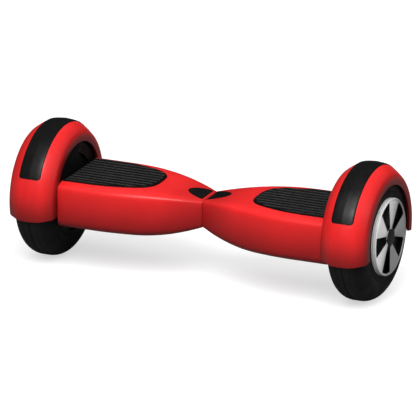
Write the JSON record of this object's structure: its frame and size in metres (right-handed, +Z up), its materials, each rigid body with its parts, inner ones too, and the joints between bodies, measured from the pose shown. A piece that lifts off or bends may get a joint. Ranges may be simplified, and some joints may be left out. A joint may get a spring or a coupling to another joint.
{
  "type": "self balancing hoverboard",
  "caption": "Two-wheeled self balancing board: twisting body halves on a centre pivot, arched hub motor wheels and ribbed foot pads.",
  "frame": {"origin": "on the floor, below the middle of the centre seam", "axes": "+X along the wheel axles towards the right-hand wheel as seen from the front (left and right in the names are as seen from the front), -Y towards the front, +Z up"},
  "size_m": [0.4978, 0.18, 0.1766],
  "materials": {
    "shell_red": "high gloss",
    "trim_rubber": "satin",
    "pad_rubber": "ribbed, matt",
    "inner_plastic": "moulded",
    "lens": "smoked, polished",
    "circuit_board": "solder mask",
    "cast_aluminium": "as cast",
    "steel": "turned",
    "screw_steel": "black oxide",
    "copper": "enamelled wire",
    "casing_black": "satin black paint",
    "magnet": "nickel plated",
    "tyre": "smooth tread with shallow grooves",
    "cover_silver": "silver painted",
    "cap_black": "moulded",
    "cable": "matt sheath",
    "bronze": "sintered",
    "battery_wrap": "heat shrunk film"
  },
  "bodies": {
    "left_half": {"left_top_shell": "shell_red", "left_bottom_shell": "shell_red", "left_wheel_arch": "shell_red", "left_bumper_strip": "trim_rubber", "left_window": "lens", "left_status_board": "circuit_board", "left_chassis": "cast_aluminium", "left_axle_clamp": "steel", "left_clamp_screws": "screw_steel", "left_shell_screws": "screw_steel", "left_gyro_board": "circuit_board", "left_axle": "steel", "left_stator": "steel", "left_windings": "copper", "left_motor_cable": "cable", "pivot_tube": "steel", "retaining_ring": "screw_steel", "link_cable": "cable", "battery_pack": "battery_wrap", "charging_socket": "cap_black"},
    "right_half": {"right_top_shell": "shell_red", "right_bottom_shell": "shell_red", "right_wheel_arch": "shell_red", "right_bumper_strip": "trim_rubber", "right_window": "lens", "right_status_board": "circuit_board", "right_chassis": "cast_aluminium", "right_axle_clamp": "steel", "right_clamp_screws": "screw_steel", "right_shell_screws": "screw_steel", "right_gyro_board": "circuit_board", "right_axle": "steel", "right_stator": "steel", "right_windings": "copper", "right_motor_cable": "cable", "pivot_bushes": "bronze", "mainboard": "circuit_board", "button_switch": "inner_plastic"},
    "left_wheel": {"left_motor_casing": "casing_black", "left_magnets": "magnet", "left_motor_cover": "casing_black", "left_wheel_bearings": "steel", "left_tyre": "tyre", "left_wheel_cover": "cover_silver", "left_hub_cap": "cap_black"},
    "left_pedal": {"left_foot_pad": "pad_rubber", "left_pedal_plate": "inner_plastic"},
    "right_wheel": {"right_motor_casing": "casing_black", "right_magnets": "magnet", "right_motor_cover": "casing_black", "right_wheel_bearings": "steel", "right_tyre": "tyre", "right_wheel_cover": "cover_silver", "right_hub_cap": "cap_black"},
    "right_pedal": {"right_foot_pad": "pad_rubber", "right_pedal_plate": "inner_plastic"},
    "power_button": {"power_button": "cap_black"}
  },
  "joints": [
    {"name": "frame_twist", "type": "hinge", "parent": "left_half", "child": "right_half", "pos_m": [0, 0, 0.088], "axis": [1, 0, 0], "range_deg": [-10, 10]},
    {"name": "left_wheel_spin", "type": "hinge", "parent": "left_half", "child": "left_wheel", "pos_m": [-0.2145, 0, 0.0845], "axis": [1, 0, 0], "continuous": true},
    {"name": "right_wheel_spin", "type": "hinge", "parent": "right_half", "child": "right_wheel", "pos_m": [0.2145, 0, 0.0845], "axis": [1, 0, 0], "continuous": true},
    {"name": "left_pedal_press", "type": "slide", "parent": "left_half", "child": "left_pedal", "axis": [0, 0, -1], "range_m": [0, 0.0015], "stiffness_N_per_m": 20000, "springref_m": -0.0005},
    {"name": "right_pedal_press", "type": "slide", "parent": "right_half", "child": "right_pedal", "axis": [0, 0, -1], "range_m": [0, 0.0015], "stiffness_N_per_m": 20000, "springref_m": -0.0005},
    {"name": "power_button_press", "type": "slide", "parent": "right_half", "child": "power_button", "axis": [0, -1, 0], "range_m": [0, 0.0015], "stiffness_N_per_m": 800, "springref_m": -0.0005}
  ]
}
